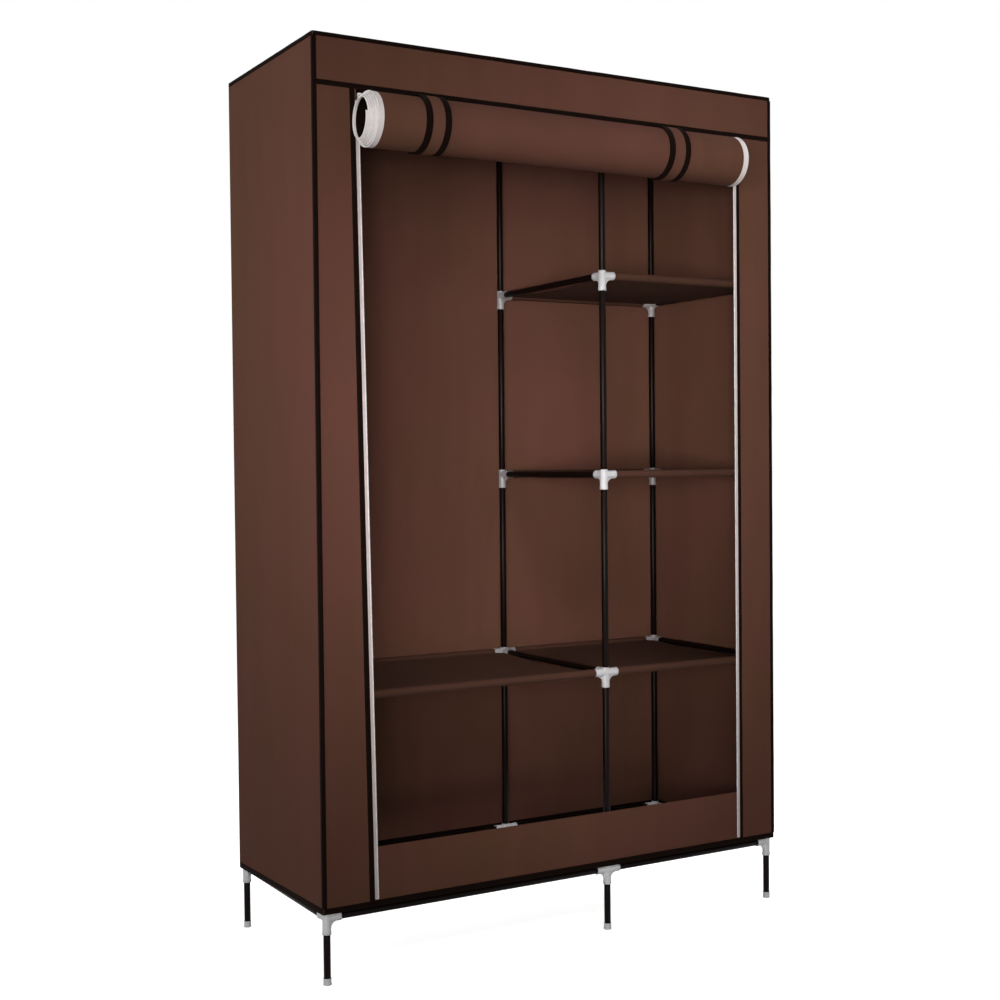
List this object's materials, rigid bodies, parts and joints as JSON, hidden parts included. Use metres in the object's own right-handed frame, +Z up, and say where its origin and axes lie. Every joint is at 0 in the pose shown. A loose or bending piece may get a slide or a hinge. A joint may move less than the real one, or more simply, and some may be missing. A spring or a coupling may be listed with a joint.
{
  "type": "portable fabric wardrobe",
  "caption": "Upright fabric-covered wardrobe on a tube frame, with a hanging bay beside a stack of cloth shelves and a front door rolled up and tied under the valance.",
  "frame": {"origin": "on the floor, under the middle of the whole object with its door rolled up", "axes": "+Z up, the open front towards -Y, +X to the right seen from the front; the hanging bay is at -X and the shelf stack at +X"},
  "size_m": [1.0398, 0.5327, 1.6959],
  "materials": {
    "black_tube": "gloss black enamel on thin steel tube, with grey moulded sockets",
    "grey_plastic": "light grey moulded plastic",
    "cover_cloth": "matt brown non-woven cloth with black binding",
    "shelf_cloth": "matt brown non-woven cloth, darker where it is shaded",
    "zip_tape": "white woven zip tape",
    "tie_cloth": "brown cloth strap with black bound edges",
    "zip_metal": "pale lacquered metal"
  },
  "bodies": {
    "wardrobe": {"back_base_rail_left": "black_tube", "back_base_rail_right": "black_tube", "back_high_rail_right": "black_tube", "back_left_foot": "grey_plastic", "back_left_post": "black_tube", "back_low_rail_left": "black_tube", "back_low_rail_right": "black_tube", "back_mid_foot": "grey_plastic", "back_mid_post": "black_tube", "back_mid_rail_right": "black_tube", "back_panel": "cover_cloth", "back_right_foot": "grey_plastic", "back_right_post": "black_tube", "back_top_rail": "black_tube", "front_base_rail_left": "black_tube", "front_base_rail_right": "black_tube", "front_high_rail_right": "black_tube", "front_left_foot": "grey_plastic", "front_left_post": "black_tube", "front_low_rail_left": "black_tube", "front_low_rail_right": "black_tube", "front_mid_foot": "grey_plastic", "front_mid_post": "black_tube", "front_mid_rail_right": "black_tube", "front_panel": "cover_cloth", "front_right_foot": "grey_plastic", "front_right_post": "black_tube", "front_top_rail": "black_tube", "hanging_rod": "black_tube", "high_shelf": "shelf_cloth", "left_base_depth_rail": "black_tube", "left_low_depth_rail": "black_tube", "left_side_panel": "cover_cloth", "left_tie": "tie_cloth", "left_top_depth_rail": "black_tube", "left_zip_tape": "zip_tape", "low_shelf_left": "shelf_cloth", "low_shelf_right": "shelf_cloth", "mid_base_depth_rail": "black_tube", "mid_high_depth_rail": "black_tube", "mid_low_depth_rail": "black_tube", "mid_mid_depth_rail": "black_tube", "mid_shelf": "shelf_cloth", "mid_top_depth_rail": "black_tube", "right_base_depth_rail": "black_tube", "right_high_depth_rail": "black_tube", "right_low_depth_rail": "black_tube", "right_mid_depth_rail": "black_tube", "right_side_panel": "cover_cloth", "right_tie": "tie_cloth", "right_top_depth_rail": "black_tube", "right_zip_tape": "zip_tape", "roof_panel": "cover_cloth"},
    "rolled_door": {"door_roll": "cover_cloth", "left_door_tape": "zip_tape", "right_door_tape": "zip_tape"},
    "left_slider": {"left_zip_slider": "zip_metal"},
    "right_slider": {"right_zip_slider": "zip_metal"},
    "left_tab": {"left_pull_tab": "zip_metal"},
    "right_tab": {"right_pull_tab": "zip_metal"}
  },
  "joints": [
    {"name": "door_drop", "type": "slide", "parent": "wardrobe", "child": "rolled_door", "axis": [0, 0, -1], "range_m": [0, 1.334], "deforming": ["left_tie", "right_tie"]},
    {"name": "left_slider_travel", "type": "slide", "parent": "wardrobe", "child": "left_slider", "axis": [0.0146, 0, -0.9999], "range_m": [0, 1.438]},
    {"name": "right_slider_travel", "type": "slide", "parent": "wardrobe", "child": "right_slider", "axis": [0, 0, -1], "range_m": [0, 1.438]},
    {"name": "left_tab_swing", "type": "hinge", "parent": "left_slider", "child": "left_tab", "pos_m": [-0.43082, -0.1603, 1.5904], "axis": [-1, 0, 0], "range_deg": [0, 90]},
    {"name": "right_tab_swing", "type": "hinge", "parent": "right_slider", "child": "right_tab", "pos_m": [0.4187, -0.1603, 1.5904], "axis": [-1, 0, 0], "range_deg": [0, 90]}
  ]
}
